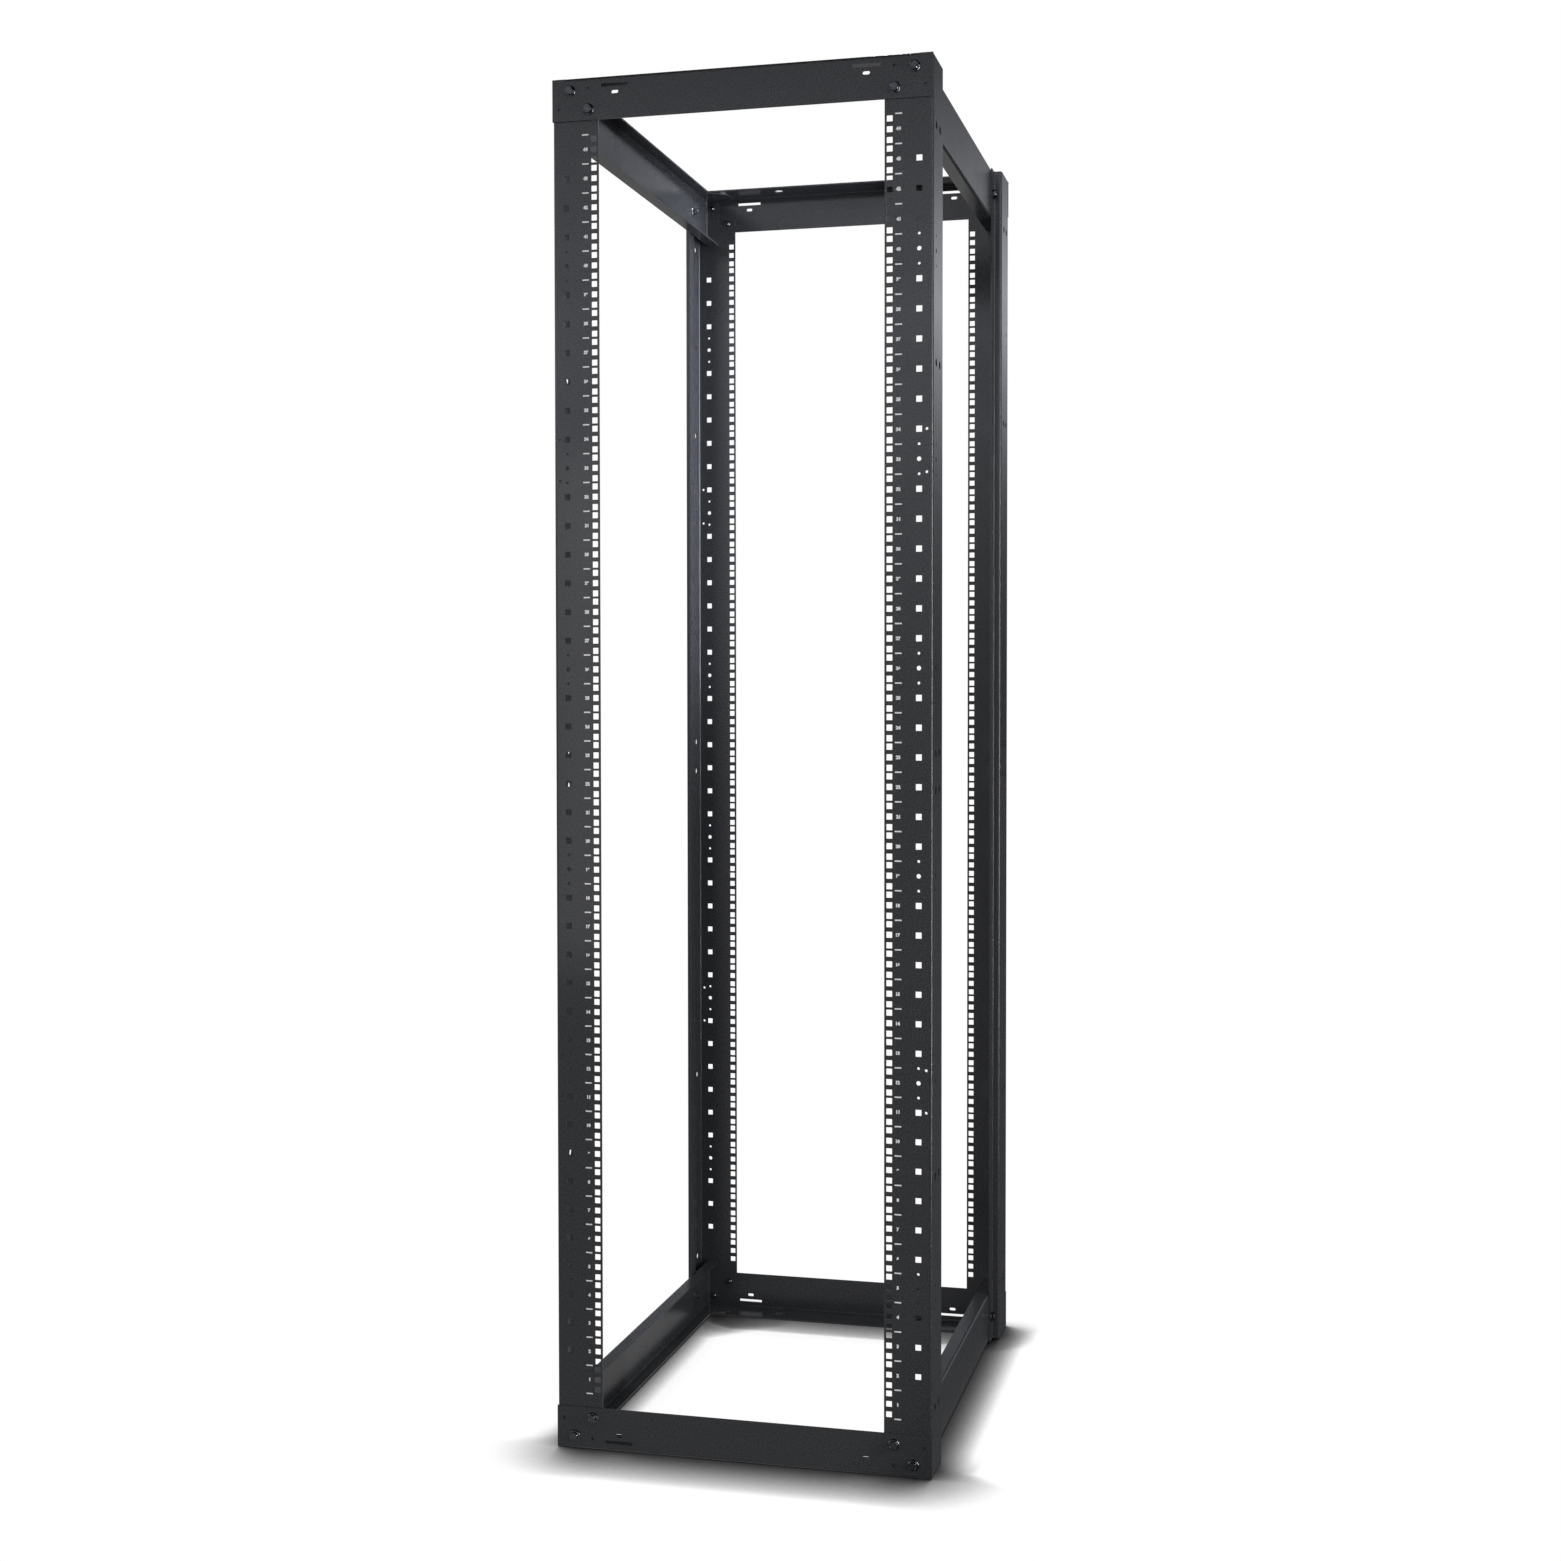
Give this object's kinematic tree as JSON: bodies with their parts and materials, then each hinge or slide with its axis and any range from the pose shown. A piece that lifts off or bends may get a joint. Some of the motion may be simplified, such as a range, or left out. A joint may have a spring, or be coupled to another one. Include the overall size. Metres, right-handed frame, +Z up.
{
  "type": "four post open frame rack",
  "caption": "Open frame equipment rack with four punched corner posts, upright cross beams at top and bottom and channel side braces.",
  "frame": {"origin": "bottom centre of the rack, on the floor it stands on", "axes": "+Z up, +X to the right seen from the front, the numbered front posts at -Y"},
  "size_m": [0.598, 0.75, 2.13],
  "materials": {
    "black_powder_coat": "fine textured satin black powder coat on steel sheet"
  },
  "bodies": {
    "root": {"post_front_left": "black_powder_coat", "post_front_right": "black_powder_coat", "post_rear_left": "black_powder_coat", "post_rear_right": "black_powder_coat", "cross_beam_front_top": "black_powder_coat", "cross_beam_front_bottom": "black_powder_coat", "cross_beam_rear_top": "black_powder_coat", "cross_beam_rear_bottom": "black_powder_coat", "side_brace_left_top": "black_powder_coat", "side_brace_left_bottom": "black_powder_coat", "side_brace_right_top": "black_powder_coat", "side_brace_right_bottom": "black_powder_coat"}
  },
  "joints": []
}
